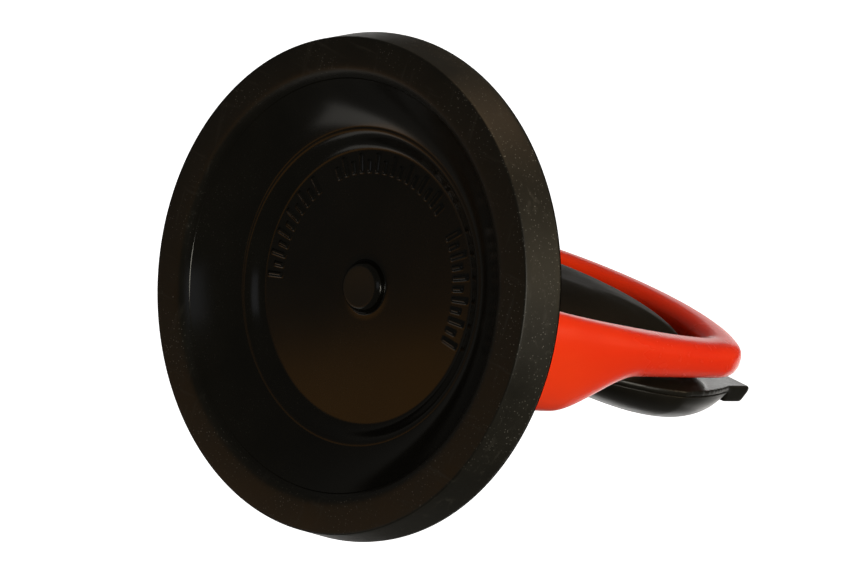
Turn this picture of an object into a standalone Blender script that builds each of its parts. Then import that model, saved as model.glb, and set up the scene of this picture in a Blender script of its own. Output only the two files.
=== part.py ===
"""Glass suction lifter: a rubber suction disc, an arched handle and a cam lever.

Frame: origin at the centre of the sealing face, +Z up the disc's axis to the
handle, X along the lever's pin and +Y on the lever's side. The lever is closed,
so the middle of the disc is drawn up and the suction is on.
"""
from math import cos, hypot, pi, radians, sin, sqrt

import bmesh
import bpy
from mathutils import Matrix, Vector

MM = 0.001
GAP = 0.3 * MM                 # left between neighbouring pieces
MERGE = 0.00001                # merge distance of the Screw and Weld modifiers

# Rubber disc
PAD_FACE_RADIUS = 57.8 * MM    # edge of the sealing face
PAD_RADIUS = 60.0 * MM         # widest, at the back edge
PAD_RIM_HEIGHT = 10.3 * MM
PAD_SEAL_RADIUS = 50.0 * MM    # the flat sealing band starts here
DISH_RADIUS = 36.0 * MM        # foot of the curved dish wall
DISH_WALL_HEIGHT = 9.5 * MM
DISH_HEIGHT = 12.0 * MM        # height of the drawn-up middle
BEAD_RADIUS = 34.4 * MM
BEAD_HEIGHT = 11.0 * MM        # ledge of the bead round the drawn-up middle
BOSS_RADIUS = 6.3 * MM
BOSS_TIP = 9.8 * MM
PAD_MIDDLE_TOP = 16.0 * MM
PAD_EDGE_ROUND = 0.7 * MM
PAD_BACK_RADIUS = 44.0 * MM    # the back rises inside this radius
PAD_SHOULDER_HEIGHT = 14.5 * MM

# Steel core in the middle of the disc
CORE_RADIUS = 30.0 * MM
CORE_THICK = 2.0 * MM
CORE_WASHER_RADIUS = 10.0 * MM
CORE_WASHER_THICK = 1.2 * MM
NUT_CORNER_RADIUS = 8.2 * MM
NUT_THICK = 2.8 * MM

# Housing dome
DOME_RADIUS = 50.0 * MM
DOME_TOP = 28.5 * MM
DOME_FLAT_RADIUS = 18.0 * MM
DOME_WALL = 3.5 * MM
DOME_FOOT = PAD_RIM_HEIGHT + GAP
BUSH_HOLE_RADIUS = 7.5 * MM

# Arched handle
ARCH_PILLAR_X = 42.2 * MM      # middle of a pillar
ARCH_CROWN_RADIUS = 57.5 * MM  # middle line of the top bar
ARCH_CROWN_CENTRE = 63.7 * MM
ARCH_CORNER_RADIUS = 10.6 * MM
ARCH_HALF_THICK = 5.3 * MM
ARCH_BAR_HALF_THICK = 5.7 * MM
ARCH_EDGE = 3.7 * MM
ARCH_FOOT = 10.5 * MM
ARCH_BACK_TOP = 4.5 * MM       # depth behind the disc's axis at the top bar
ARCH_BACK_SPREAD = 5.0 * MM    # added toward the foot
ARCH_BACK_START = 97.0 * MM    # height where the spread starts
ARCH_BACK_RUN = 59.0 * MM
ARCH_FRONT_TOP = 4.8 * MM      # depth on the lever's side at the top bar
ARCH_FRONT_SPREAD = 8.6 * MM
ARCH_FRONT_START = 65.0 * MM
ARCH_FRONT_RUN = 28.0 * MM
ARCH_ROOT = 5.0 * MM           # inward flare at the foot
ARCH_ROOT_START = 38.0 * MM
ARCH_ROOT_RUN = 20.0 * MM
ARCH_BAR_START = 102.0 * MM    # the pillars thicken into the top bar from here
ARCH_BAR_RUN = 12.0 * MM

# Stud, pin and cam
PIN_HEIGHT = 40.6 * MM
PIN_RADIUS = 3.0 * MM
PIN_HALF_LENGTH = 16.0 * MM
CLIP_GROOVE = (13.9 * MM, 15.1 * MM, 2.3 * MM)   # its two ends and its radius
STUD_RADIUS = 5.0 * MM
STUD_FOOT = 16.6 * MM
EYE_RADIUS = 6.0 * MM
EYE_HALF_WIDTH = 6.0 * MM
CAM_CLOSED = 10.0 * MM         # pin to wear plate with the lever closed
CAM_STROKE = 4.0 * MM          # how far the stud drops as the lever opens
LEVER_SWING = radians(45)
CHEEK_INNER = 8.3 * MM
CHEEK_THICK = 5.0 * MM
WEAR_PLATE_BOTTOM = DOME_TOP + GAP
WEAR_PLATE_TOP = WEAR_PLATE_BOTTOM + 1.5 * MM
WEAR_PLATE_HALF = (21.0 * MM, 12.0 * MM)
WEAR_PLATE_CORNER = 4.0 * MM
PLATE_SCREW_AT = (17.0 * MM, 8.0 * MM)
PLATE_SCREW_HOLE = 1.6 * MM
BUSH_FLANGE_RADIUS = 10.0 * MM
BUSH_BOTTOM = 23.2 * MM

# Lever
DECK_Y = 8.8 * MM              # lever face nearest the arch
DECK_THICK = 3.0 * MM
LEVER_HALF_WIDTH = 43.3 * MM
LEVER_WIDEST_Z = 91.0 * MM
LEVER_TAIL_Z = 49.0 * MM
LEVER_LIP_HALF_WIDTH = 39.3 * MM
LEVER_LIP_START = 114.4 * MM
LEVER_LIP_END = 124.9 * MM
LEVER_LIP_Y = 13.1 * MM
LIP_CHAMFER = 2.2 * MM
NECK_HALF_WIDTH = 14.0 * MM
NECK_FOOT = 47.0 * MM
CROWN_Y = -7.4 * MM             # crest of the crown
CROWN_HALF_WIDTH = 35.2 * MM
CROWN_FLANGE = 8.8 * MM        # rim left between the crown and the deck's edge
CROWN_GAP = 2.8 * MM           # from the crown to the top bar
CROWN_DOME_RUN = 26.0 * MM     # the crown domes over this far in from its edge
CROWN_DOME_RISE = 9.0 * MM
CROWN_CORNER = 3.6 * MM        # plan radius of its two upper corners
SHOULDER_Y = 6.4 * MM          # top of the sloping shoulder round the crown's foot
SHOULDER_RUN = 6.0 * MM
SHOULDER_TAIL_Z = 74.0 * MM
SHOULDER_END_Z = 107.0 * MM
COVER_Y = DECK_Y + DECK_THICK + GAP
COVER_DEPTH = 10.1 * MM
COVER_DEEPEST_Z = 101.0 * MM
COVER_END_Z = 114.0 * MM
COVER_TAIL_Z = 50.0 * MM
COVER_WALL = 2.4 * MM
COVER_POST_RADIUS = 2.4 * MM
COVER_PILOT_RADIUS = 1.5 * MM

RED = (0.80, 0.045, 0.006)
BLACK = (0.012, 0.011, 0.010)
RUBBER = (0.010, 0.009, 0.008)
STEEL = (0.55, 0.55, 0.56)
NYLON = (0.75, 0.74, 0.70)

PARTS = "glass_suction_lifter"
CUTTERS = "cutters"


# ---------------------------------------------------------------- scene helpers

def clear_scene():
    for old in list(bpy.data.objects):
        bpy.data.objects.remove(old, do_unlink=True)
    for name in (PARTS, CUTTERS):
        group = bpy.data.collections.get(name) or bpy.data.collections.new(name)
        if name not in bpy.context.scene.collection.children:
            bpy.context.scene.collection.children.link(group)


def material(name, colour, roughness, metallic=0.0):
    mat = bpy.data.materials.new(name)
    mat.use_nodes = True
    shader = mat.node_tree.nodes["Principled BSDF"]
    shader.inputs["Base Color"].default_value = (*colour, 1.0)
    shader.inputs["Roughness"].default_value = roughness
    shader.inputs["Metallic"].default_value = metallic
    return mat


def add_object(name, mesh, mat=None, matrix=None):
    """Link a mesh as a part, or as a hidden cutter when it has no material."""
    obj = bpy.data.objects.new(name, mesh)
    bpy.data.collections[PARTS if mat else CUTTERS].objects.link(obj)
    if matrix:
        obj.matrix_world = matrix
    if mat:
        mesh.materials.append(mat)
        mesh.shade_smooth()
        mesh.set_sharp_from_angle(angle=radians(35))
    else:
        obj.hide_render = True
        obj.display_type = "WIRE"
    return obj


def boolean(obj, other, operation):
    """Join the hidden object `other` to obj, or cut it away."""
    step = obj.modifiers.new(other.name, "BOOLEAN")
    step.operation = operation
    step.object = other
    step.solver = "EXACT"


def mesh_from(points, faces, name):
    mesh = bpy.data.meshes.new(name)
    mesh.from_pydata(points, [], faces)
    mesh.update()
    return mesh


# ---------------------------------------------------------------- shape helpers

def turned(name, profile, mat=None, steps=48, closed=False):
    """Turn a profile of (radius, z) points, listed down its outer side, about Z."""
    count = len(profile)
    edges = [(i, i + 1) for i in range(count - 1)]
    if closed:
        edges.append((count - 1, 0))
    mesh = bpy.data.meshes.new(name)
    mesh.from_pydata([(r, 0.0, z) for r, z in profile], edges, [])
    obj = add_object(name, mesh, mat)
    screw = obj.modifiers.new("turn", "SCREW")
    screw.axis = "Z"
    screw.steps = steps
    screw.render_steps = steps
    screw.use_merge_vertices = True
    screw.merge_threshold = MERGE
    screw.use_smooth_shade = True
    return obj


def ring_profile(inner, outer, low, high):
    return [(inner, high), (outer, high), (outer, low), (inner, low)]


def outline_mesh(name, outline, half_thick, matrix):
    """Extrude a closed flat outline both ways, as a filled 2D curve made a mesh."""
    curve = bpy.data.curves.new(name, "CURVE")
    curve.dimensions = "2D"
    curve.fill_mode = "BOTH"
    curve.extrude = half_thick
    spline = curve.splines.new("POLY")
    spline.points.add(len(outline) - 1)
    for point, (x, y) in zip(spline.points, outline):
        point.co = (x, y, 0.0, 1.0)
    spline.use_cyclic_u = True
    source = bpy.data.objects.new(name + "_curve", curve)
    bpy.context.scene.collection.objects.link(source)
    evaluated = source.evaluated_get(bpy.context.evaluated_depsgraph_get())
    mesh = bpy.data.meshes.new_from_object(evaluated)
    mesh.transform(matrix)
    body = bmesh.new()
    body.from_mesh(mesh)
    bmesh.ops.remove_doubles(body, verts=body.verts, dist=MERGE)
    bmesh.ops.recalc_face_normals(body, faces=body.faces)
    body.to_mesh(mesh)
    body.free()
    bpy.data.objects.remove(source)
    mesh.name = name
    return mesh


def along_x(middle_x):
    """Places an outline drawn in (Y, Z) at x = middle_x."""
    return Matrix.Translation((middle_x, 0, 0)) @ Matrix(
        ((0, 0, 1, 0), (1, 0, 0, 0), (0, 1, 0, 0), (0, 0, 0, 1)))


def along_y(middle_y):
    """Places an outline drawn in (X, Z) at y = middle_y."""
    return Matrix.Translation((0, middle_y, 0)) @ Matrix(
        ((1, 0, 0, 0), (0, 0, -1, 0), (0, 1, 0, 0), (0, 0, 0, 1)))


def rod_mesh(name, radius, length, sides=24):
    """A cylinder along Z about the origin."""
    body = bmesh.new()
    bmesh.ops.create_cone(body, cap_ends=True, segments=sides,
                          radius1=radius, radius2=radius, depth=length)
    mesh = bpy.data.meshes.new(name)
    body.to_mesh(mesh)
    body.free()
    return mesh


def rod(name, radius, start, end, mat=None, sides=24):
    """A cylinder from one point to another."""
    axis = Vector(end) - Vector(start)
    turn = axis.to_track_quat("Z", "Y").to_matrix().to_4x4()
    place = Matrix.Translation((Vector(start) + Vector(end)) / 2) @ turn
    return add_object(name, rod_mesh(name, radius, axis.length, sides), mat, place)


def loft(name, rings, mat=None):
    """A closed body through rings of equally many points, with flat end caps."""
    size = len(rings[0])
    points = [tuple(p) for ring in rings for p in ring]
    faces = []
    for i in range(len(rings) - 1):
        for j in range(size):
            k = (j + 1) % size
            low, high = i * size, (i + 1) * size
            faces.append((low + j, low + k, high + k, high + j))
    faces.append(tuple(reversed(range(size))))
    faces.append(tuple(range(len(points) - size, len(points))))
    mesh = mesh_from(points, faces, name)
    body = bmesh.new()
    body.from_mesh(mesh)
    bmesh.ops.recalc_face_normals(body, faces=body.faces)
    body.to_mesh(mesh)
    body.free()
    return add_object(name, mesh, mat)


def smoothstep(t):
    t = min(1.0, max(0.0, t))
    return t * t * (3 - 2 * t)


def arc(centre, radius, start, end, count):
    """Points on an arc, angles in degrees from the first axis to the second."""
    angles = [radians(start + (end - start) * i / (count - 1)) for i in range(count)]
    return [(centre[0] + radius * cos(a), centre[1] + radius * sin(a)) for a in angles]


# ---------------------------------------------------------------- suction disc

def dish_wall(count):
    """The curved wall of the dish, from its foot out to the sealing band."""
    run = PAD_SEAL_RADIUS - DISH_RADIUS
    points = []
    for i in range(count):
        t = i / (count - 1)
        points.append((DISH_RADIUS + run * t, DISH_WALL_HEIGHT * (1 - t ** 1.5)))
    return points


def make_suction_pad(rubber):
    edge = PAD_EDGE_ROUND
    back = [(0.0, PAD_MIDDLE_TOP), (BEAD_RADIUS, PAD_MIDDLE_TOP),
            (DISH_RADIUS + 3 * MM, PAD_SHOULDER_HEIGHT), (PAD_BACK_RADIUS, PAD_RIM_HEIGHT),
            (PAD_RADIUS - edge, PAD_RIM_HEIGHT), (PAD_RADIUS, PAD_RIM_HEIGHT - edge)]
    face = [(PAD_FACE_RADIUS + 0.1 * MM, edge), (PAD_FACE_RADIUS - 0.5 * MM, 0.0)]
    wall = list(reversed(dish_wall(8)))
    middle = [(DISH_RADIUS - 0.4 * MM, BEAD_HEIGHT), (BEAD_RADIUS, BEAD_HEIGHT),
              (BEAD_RADIUS - 0.8 * MM, DISH_HEIGHT), (BOSS_RADIUS, DISH_HEIGHT),
              (BOSS_RADIUS - 0.3 * MM, BOSS_TIP + 1.0 * MM),
              (BOSS_RADIUS - 1.3 * MM, BOSS_TIP), (0.0, BOSS_TIP)]
    turned("suction_pad", back + face + wall + middle, rubber, steps=64)


def make_core(steel):
    """The plate, washer and nut that clamp the middle of the disc, one on another."""
    bore = STUD_RADIUS + GAP
    core_bottom = PAD_MIDDLE_TOP + GAP
    washer_bottom = core_bottom + CORE_THICK + GAP
    nut_bottom = washer_bottom + CORE_WASHER_THICK + GAP
    turned("core_plate", ring_profile(bore, CORE_RADIUS, core_bottom, core_bottom + CORE_THICK),
           steel, closed=True)
    turned("stud_washer", ring_profile(bore, CORE_WASHER_RADIUS, washer_bottom,
                                       washer_bottom + CORE_WASHER_THICK),
           steel, steps=32, closed=True)
    corners = arc((0, 0), NUT_CORNER_RADIUS, 0, 300, 6)
    level = Matrix.Translation((0, 0, nut_bottom + NUT_THICK / 2))
    nut = add_object("stud_nut", outline_mesh("stud_nut", corners, NUT_THICK / 2, level), steel)
    hole = rod("nut_hole", bore, (0, 0, nut_bottom - 2 * MM),
               (0, 0, nut_bottom + NUT_THICK + 2 * MM))
    boolean(nut, hole, "DIFFERENCE")


def make_stud(steel):
    """A round shank with an eye for the pin, its origin on the pin's axis."""
    stud = rod("pull_stud", STUD_RADIUS, (0, 0, STUD_FOOT), (0, 0, PIN_HEIGHT), steel)
    eye = rod("stud_eye", EYE_RADIUS, (-EYE_HALF_WIDTH, 0, PIN_HEIGHT),
              (EYE_HALF_WIDTH, 0, PIN_HEIGHT), sides=32)
    hole = rod("stud_eye_hole", PIN_RADIUS + GAP, (-9 * MM, 0, PIN_HEIGHT),
               (9 * MM, 0, PIN_HEIGHT))
    boolean(stud, eye, "UNION")
    boolean(stud, hole, "DIFFERENCE")


# ---------------------------------------------------------------- housing

def dome_profile(radius, top, count):
    """The dome's skin from its flat top out to its foot."""
    run = radius - DOME_FLAT_RADIUS
    points = [(0.0, top)]
    for i in range(count):
        t = sin(pi / 2 * i / (count - 1))
        height = (top - DOME_FOOT) * sqrt(max(0.0, 1 - t ** 3))
        points.append((DOME_FLAT_RADIUS + run * t, DOME_FOOT + height))
    return points


def arch_stations():
    """Middle points and outward directions along the arch, foot to foot."""
    reach = ARCH_CROWN_RADIUS - ARCH_CORNER_RADIUS
    corner_x = ARCH_PILLAR_X - ARCH_CORNER_RADIUS
    rise = sqrt(reach ** 2 - corner_x ** 2)
    corner_z = ARCH_CROWN_CENTRE + rise
    turn = 90 - degrees_from_up(corner_x, rise)
    half = []
    pillar_steps = 16
    for i in range(pillar_steps):
        z = ARCH_FOOT + (corner_z - ARCH_FOOT) * i / pillar_steps
        half.append((ARCH_PILLAR_X, z, 1.0, 0.0))
    for x, z in arc((corner_x, corner_z), ARCH_CORNER_RADIUS, 0, turn, 6):
        half.append((x, z, (x - corner_x) / ARCH_CORNER_RADIUS,
                     (z - corner_z) / ARCH_CORNER_RADIUS))
    for x, z in arc((0, ARCH_CROWN_CENTRE), ARCH_CROWN_RADIUS, turn, 90, 9)[1:]:
        half.append((x, z, x / ARCH_CROWN_RADIUS,
                     (z - ARCH_CROWN_CENTRE) / ARCH_CROWN_RADIUS))
    other = [(-x, z, -nx, nz) for x, z, nx, nz in reversed(half[:-1])]
    return half + other


def degrees_from_up(across, up):
    """The angle from straight up to the direction (across, up), in degrees."""
    return Vector((across, up)).angle(Vector((0, 1))) * 180 / pi


def arch_back(z):
    drop = max(0.0, (ARCH_BACK_START - z) / ARCH_BACK_RUN)
    return ARCH_BACK_TOP + ARCH_BACK_SPREAD * drop ** 1.4


def arch_front(z):
    return ARCH_FRONT_TOP + ARCH_FRONT_SPREAD * smoothstep((ARCH_FRONT_START - z) / ARCH_FRONT_RUN)


def rounded_section(inner, outer, back, front, radius, count=4):
    """Points (outward, y) of a rounded rectangle, taken once round."""
    points = []
    for cx, cy, start in ((outer - radius, front - radius, 0),
                          (inner + radius, front - radius, 90),
                          (inner + radius, back + radius, 180),
                          (outer - radius, back + radius, 270)):
        points += arc((cx, cy), radius, start, start + 90, count)
    return points


def make_arch():
    """The handle: a rounded box section swept up one pillar, over and down the other."""
    rings = []
    for x, z, nx, nz in arch_stations():
        bar = smoothstep((z - ARCH_BAR_START) / ARCH_BAR_RUN)
        half = ARCH_HALF_THICK + (ARCH_BAR_HALF_THICK - ARCH_HALF_THICK) * bar
        root = ARCH_ROOT * smoothstep((ARCH_ROOT_START - z) / ARCH_ROOT_RUN)
        section = rounded_section(-half - root, half, -arch_back(z), arch_front(z), ARCH_EDGE)
        rings.append([(x + nx * u, y, z + nz * u) for u, y in section])
    return loft("arch", rings)


def screw_spots():
    """Middles of the four wear plate screws."""
    across, along = PLATE_SCREW_AT
    return [(sx * across, sy * along) for sx in (-1, 1) for sy in (-1, 1)]


def make_housing(red):
    """The dome over the disc and its arch, one hollow moulding."""
    body = turned("handle_body", dome_profile(DOME_RADIUS, DOME_TOP, 12) + [(0.0, DOME_FOOT)],
                  red, steps=64)
    boolean(body, make_arch(), "UNION")
    cavity = dome_profile(DOME_RADIUS - DOME_WALL, DOME_TOP - DOME_WALL, 12)
    cavity += [(DOME_RADIUS - DOME_WALL, 5 * MM), (0.0, 5 * MM)]
    boolean(body, turned("dome_cavity", cavity, steps=64), "DIFFERENCE")
    boolean(body, rod("bush_hole", BUSH_HOLE_RADIUS, (0, 0, 20 * MM), (0, 0, 35 * MM)),
            "DIFFERENCE")
    for i, (x, y) in enumerate(screw_spots()):
        hole = rod(f"dome_screw_hole_{i}", PLATE_SCREW_HOLE, (x, y, 22 * MM),
                   (x, y, 35 * MM), sides=12)
        boolean(body, hole, "DIFFERENCE")


def make_bush(nylon):
    inner = STUD_RADIUS + GAP
    outer = BUSH_HOLE_RADIUS - GAP
    flange_top = DOME_TOP - DOME_WALL - GAP
    profile = [(inner, DOME_TOP - GAP), (outer, DOME_TOP - GAP), (outer, flange_top),
               (BUSH_FLANGE_RADIUS, flange_top), (BUSH_FLANGE_RADIUS, BUSH_BOTTOM),
               (inner, BUSH_BOTTOM)]
    turned("stud_guide_bush", profile, nylon, steps=32, closed=True)


def make_wear_plate(steel):
    """The steel plate that the cam feet press on, and its four screws."""
    half_x, half_y = WEAR_PLATE_HALF
    outline = rounded_section(-half_x, half_x, -half_y, half_y, WEAR_PLATE_CORNER)
    level = Matrix.Translation((0, 0, (WEAR_PLATE_BOTTOM + WEAR_PLATE_TOP) / 2))
    half_thick = (WEAR_PLATE_TOP - WEAR_PLATE_BOTTOM) / 2
    mesh = outline_mesh("wear_plate", outline, half_thick, level)
    plate = add_object("wear_plate", mesh, steel)
    boolean(plate, rod("plate_hole", STUD_RADIUS + 0.6 * MM, (0, 0, 20 * MM), (0, 0, 35 * MM)),
            "DIFFERENCE")
    for i, (x, y) in enumerate(screw_spots()):
        hole = rod(f"plate_screw_hole_{i}", PLATE_SCREW_HOLE, (x, y, 22 * MM),
                   (x, y, 35 * MM), sides=12)
        boolean(plate, hole, "DIFFERENCE")
        make_screw(f"wear_plate_screw_{i + 1}", (x, y, WEAR_PLATE_TOP + GAP), (0, 0, 1),
                   2.8 * MM, 1.3 * MM, 5.2 * MM, steel)


def make_screw(name, seat, out, head_radius, shank_radius, length, mat):
    """A pan-head screw, its head's seat at `seat` and its head pointing along `out`."""
    head = 1.3 * MM
    profile = [(0.0, head), (head_radius - 0.7 * MM, head), (head_radius, head * 0.5),
               (head_radius, 0.0), (shank_radius, 0.0), (shank_radius, -length + 0.6 * MM),
               (0.0, -length)]
    screw = turned(name, profile, mat, steps=16)
    turn = Vector(out).to_track_quat("Z", "Y").to_matrix().to_4x4()
    screw.matrix_world = Matrix.Translation(seat) @ turn


# ---------------------------------------------------------------- pin

def make_pin(steel):
    radius, end = PIN_RADIUS, PIN_HALF_LENGTH
    near, far, groove = CLIP_GROOVE
    half = [(groove, near), (groove, far), (radius, far), (radius, end - 0.4 * MM),
            (radius - 0.4 * MM, end), (0.0, end)]
    lower = [(radius, near)] + half
    profile = [(r, z) for r, z in reversed(lower)] + [(r, -z) for r, z in lower]
    pin = turned("cam_pin", profile, steel, steps=24)
    pin.matrix_world = Matrix.Translation((0, 0, PIN_HEIGHT)) @ Matrix.Rotation(pi / 2, 4, "Y")
    for side, name in ((-1, "pin_clip_left"), (1, "pin_clip_right")):
        make_clip(name, side * (near + far) / 2, steel)
        middle = side * (EYE_HALF_WIDTH + CHEEK_INNER) / 2
        half_width = (CHEEK_INNER - EYE_HALF_WIDTH) / 2 - GAP
        washer = turned(name.replace("clip", "washer"),
                        ring_profile(PIN_RADIUS + GAP, 5.6 * MM, -half_width, half_width),
                        steel, steps=24, closed=True)
        washer.matrix_world = (Matrix.Translation((middle, 0, PIN_HEIGHT))
                               @ Matrix.Rotation(pi / 2, 4, "Y"))


def make_clip(name, x, steel):
    """An open retaining ring in the pin's groove, its mouth upward."""
    inner, outer, half = 2.6 * MM, 5.2 * MM, 0.4 * MM
    rings = []
    for i in range(19):
        angle = radians(90 + 35 + 290 * i / 18)
        y, z = cos(angle), sin(angle)
        rings.append([(x + dx, y * r, PIN_HEIGHT + z * r)
                      for dx, r in ((-half, inner), (half, inner), (half, outer), (-half, outer))])
    loft(name, rings, steel)


# ---------------------------------------------------------------- lever

def lever_half_width(z):
    """Half width of the lever's spoon-shaped plan at height z."""
    if z < LEVER_WIDEST_Z:
        t = (LEVER_WIDEST_Z - z) / (LEVER_WIDEST_Z - LEVER_TAIL_Z)
        return LEVER_HALF_WIDTH * max(0.0, 1 - t ** 1.55) ** 0.645
    taper = 2.8 * MM * ((z - LEVER_WIDEST_Z) / (20 * MM)) ** 2
    return max(LEVER_LIP_HALF_WIDTH, LEVER_HALF_WIDTH - taper)


def both_sides(right):
    """A closed outline from its right half, listed upward."""
    return right + [(-x, z) for x, z in reversed(right)]


def make_deck():
    """The lever's flat plate, with its neck and its lip."""
    right = [(NECK_HALF_WIDTH, NECK_FOOT)]
    start = 54 * MM
    for i in range(19):
        z = start + (LEVER_LIP_START - start) * i / 18
        right.append((lever_half_width(z), z))
    right.append((LEVER_LIP_HALF_WIDTH, LEVER_LIP_START + 2 * MM))
    mesh = outline_mesh("deck", both_sides(right), DECK_THICK / 2,
                        along_y(DECK_Y + DECK_THICK / 2))
    return mesh


def make_lip():
    """The thick end of the lip, chamfered on the side away from the arch."""
    side = [(DECK_Y, LEVER_LIP_START), (LEVER_LIP_Y, LEVER_LIP_START),
            (LEVER_LIP_Y, LEVER_LIP_END - LIP_CHAMFER), (DECK_Y + 1.2 * MM, LEVER_LIP_END),
            (DECK_Y, LEVER_LIP_END)]
    return add_object("lip", outline_mesh("lip", side, LEVER_LIP_HALF_WIDTH, along_x(0)))


def crown_outline():
    """Plan of the crown that fills the arch: round the arch bar, then the spoon."""
    top_radius = ARCH_CROWN_RADIUS - ARCH_BAR_HALF_THICK - CROWN_GAP
    right = []
    for i in range(14):
        z = (52 + 38 * i / 13) * MM
        width = max(NECK_HALF_WIDTH - 0.5 * MM, lever_half_width(z) - CROWN_FLANGE)
        right.append((min(CROWN_HALF_WIDTH, width), z))
    reach = top_radius - CROWN_CORNER
    corner_x = CROWN_HALF_WIDTH - CROWN_CORNER
    corner_z = ARCH_CROWN_CENTRE + sqrt(reach ** 2 - corner_x ** 2)
    turn = 90 - degrees_from_up(corner_x, corner_z - ARCH_CROWN_CENTRE)
    right += arc((corner_x, corner_z), CROWN_CORNER, 0, turn, 5)
    right += arc((0, ARCH_CROWN_CENTRE), top_radius, turn, 88, 8)[1:]
    return both_sides(right)


def make_crown():
    """The raised crown: the outline drawn in and up to a domed crest."""
    outline = crown_outline()
    middle_z = 80 * MM
    rings = []
    for i in range(10):
        angle = pi / 2 * i / 9
        inset = CROWN_DOME_RUN * (1 - cos(angle))
        y = CROWN_Y + CROWN_DOME_RISE * (1 - sin(angle))
        rings.append([inset_point(p, middle_z, inset, y) for p in outline])
    rings.insert(0, [(x, DECK_Y + 1 * MM, z) for x, z in outline])
    return loft("crown", rings)


def make_shoulder():
    """The slope from the deck's rim up to the crown's foot."""
    right = []
    for i in range(14):
        z = SHOULDER_TAIL_Z + (95 * MM - SHOULDER_TAIL_Z) * i / 13
        right.append((lever_half_width(z) - 0.5 * MM, z))
    right += arc((31 * MM, 95.5 * MM), 11.5 * MM, 5, 80, 8)
    right.append((20 * MM, SHOULDER_END_Z))
    outline = both_sides(right)
    middle_z = 90 * MM
    run = [(0.0, DECK_Y + 1 * MM), (0.0, DECK_Y - 0.2 * MM),
           (SHOULDER_RUN * 0.4, DECK_Y - 1.7 * MM), (SHOULDER_RUN, SHOULDER_Y)]
    return loft("shoulder", [[inset_point(p, middle_z, inset, y) for p in outline]
                             for inset, y in run])


def inset_point(point, middle_z, inset, y):
    x, z = point
    away = hypot(x, z - middle_z)
    scale = (away - inset) / away
    return (x * scale, y, middle_z + (z - middle_z) * scale)


def cam_outline():
    """Outline in (y, z) of a cheek: a cam foot whose lift grows steadily as it turns."""
    rate = CAM_STROKE / LEVER_SWING
    cam = []
    for i in range(9):
        swing = LEVER_SWING * i / 8
        reach = CAM_CLOSED - rate * swing
        cam.append((reach * sin(swing) - rate * cos(swing),
                    PIN_HEIGHT - reach * cos(swing) - rate * sin(swing)))
    last_y, last_z = cam[-1]
    run = 8.2 * MM
    heel = DECK_Y + DECK_THICK - 0.4 * MM
    front = [(last_y + run, last_z + run), (heel, NECK_FOOT), (heel, 55 * MM)]
    back = [(-2.5 * MM, 55 * MM), (-6.5 * MM, 49.5 * MM)]
    back += arc((0, PIN_HEIGHT), 9.4 * MM, 140, 222, 7)
    return cam + front + back


def make_lever(black):
    """The lever's plate, crown and lip with the two cam cheeks round the pin."""
    lever = add_object("lever_body", make_deck(), black)
    outline = cam_outline()
    boolean(lever, make_lip(), "UNION")
    boolean(lever, make_shoulder(), "UNION")
    boolean(lever, make_crown(), "UNION")
    hole = rod("lever_pin_hole", PIN_RADIUS + GAP, (-20 * MM, 0, PIN_HEIGHT),
               (20 * MM, 0, PIN_HEIGHT))
    for side, name in ((-1, "cheek_left"), (1, "cheek_right")):
        middle = side * (CHEEK_INNER + CHEEK_THICK / 2)
        mesh = outline_mesh(name, outline, CHEEK_THICK / 2, along_x(middle))
        boolean(lever, add_object(name, mesh), "UNION")
    boolean(lever, hole, "DIFFERENCE")
    for i, (x, z, _) in enumerate(cover_screw_spots()):
        bore = rod(f"deck_screw_hole_{i}", 1.7 * MM, (x, 5 * MM, z), (x, 15 * MM, z), sides=12)
        boolean(lever, bore, "DIFFERENCE")


def cover_screw_spots():
    """Place (x, z) of each cover screw and the depth of its pilot hole."""
    return [(side * x * MM, z * MM, depth * MM)
            for x, z, depth in ((23.4, 64, 1.9), (26, 110.4, 3.0)) for side in (-1, 1)]


def cover_solid(name, inset, mat=None):
    """The spoon's domed back; `inset` draws the whole skin inward."""
    tail, end = COVER_TAIL_Z + inset, COVER_END_Z - inset
    rows, columns = 22, 20
    depth_limit = COVER_DEPTH - inset
    rings = []
    for i in range(rows + 1):
        t = (1 - cos(pi * i / rows)) / 2
        z = tail + (end - tail) * t
        width = max(3 * MM, lever_half_width(max(z, tail)) - 0.4 * MM - inset)
        if z < COVER_DEEPEST_Z:
            rise = 1 - ((COVER_DEEPEST_Z - z) / (COVER_DEEPEST_Z - tail)) ** 1.4
        else:
            rise = sqrt(max(0.0, 1 - ((z - COVER_DEEPEST_Z) / (end - COVER_DEEPEST_Z)) ** 3.2))
        ring = [(width, COVER_Y - (MM if inset else 0), z)]
        for j in range(columns + 1):
            across = cos(pi * j / columns)
            depth = max(0.05 * MM, depth_limit * rise) * sqrt(1 - abs(across) ** 3.4)
            ring.append((width * across, COVER_Y + 0.2 * MM + depth, z))
        ring.append((-width, COVER_Y - (MM if inset else 0), z))
        rings.append(ring)
    return loft(name, rings, mat)


def make_grip_cover(black, steel):
    """The hollow cover on the lever's outer side and the screws that hold it."""
    cover = cover_solid("grip_cover", 0.0, black)
    cavity = cover_solid("cover_cavity", COVER_WALL)
    boolean(cover, cavity, "DIFFERENCE")
    for i, (x, z, depth) in enumerate(cover_screw_spots()):
        post = rod(f"cover_boss_{i}", COVER_POST_RADIUS, (x, COVER_Y - 2 * MM, z),
                   (x, COVER_Y + 8 * MM, z), sides=16)
        boolean(cavity, post, "DIFFERENCE")
        pilot = rod(f"cover_pilot_{i}", COVER_PILOT_RADIUS, (x, 10 * MM, z),
                    (x, COVER_Y + depth, z), sides=12)
        boolean(cavity, pilot, "UNION")
        make_screw(f"cover_screw_{i + 1}", (x, DECK_Y - GAP, z), (0, -1, 0),
                   2.6 * MM, 1.2 * MM, 5.0 * MM, steel)


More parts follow.
